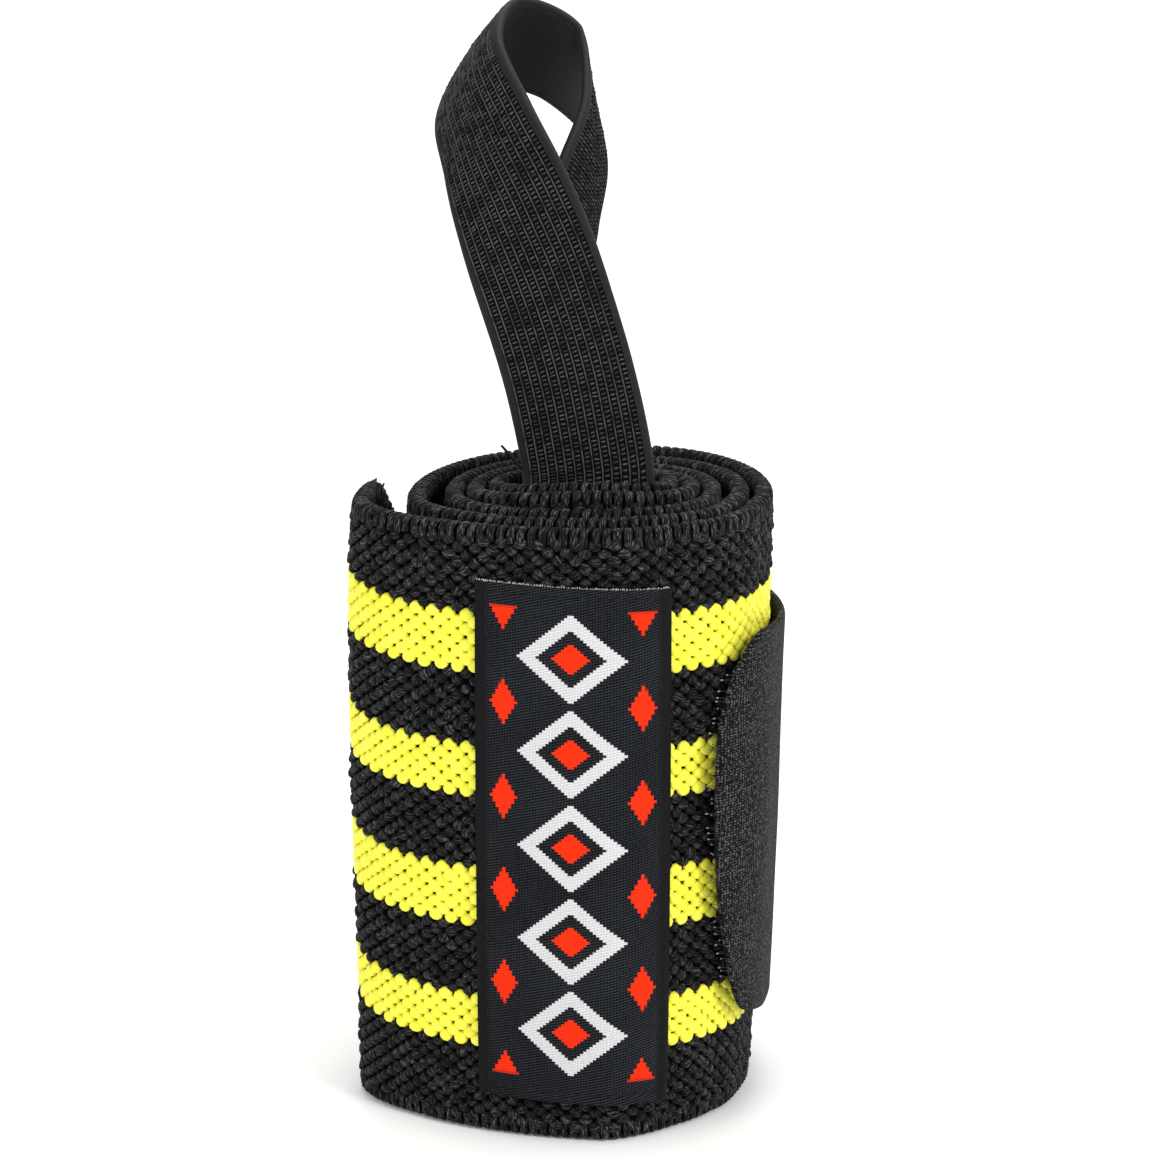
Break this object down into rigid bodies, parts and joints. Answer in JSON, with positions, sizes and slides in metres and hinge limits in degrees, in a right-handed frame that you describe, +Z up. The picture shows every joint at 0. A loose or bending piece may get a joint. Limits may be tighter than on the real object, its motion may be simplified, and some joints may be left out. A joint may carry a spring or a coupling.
{
  "type": "wrist wrap",
  "caption": "Elastic wrist wrap rolled up and standing on its edge, with thumb loop, hook tab and woven label",
  "frame": {"origin": "middle of the bounding box's foot, on the surface that the roll stands on", "axes": "+Z up along the roll's axis, -Y towards the label, +X to the right seen from the label's side"},
  "size_m": [0.0556, 0.059, 0.1408],
  "materials": {
    "band": "black elastic knit with four lengthwise yellow stripes",
    "thumb_loop": "black ribbed elastic webbing",
    "hook_tab": "dark grey hook tape",
    "label": "woven satin, blue-black"
  },
  "bodies": {
    "root": {"band": "band", "thumb_loop": "thumb_loop", "hook_tab": "hook_tab", "label": "label"}
  },
  "joints": []
}
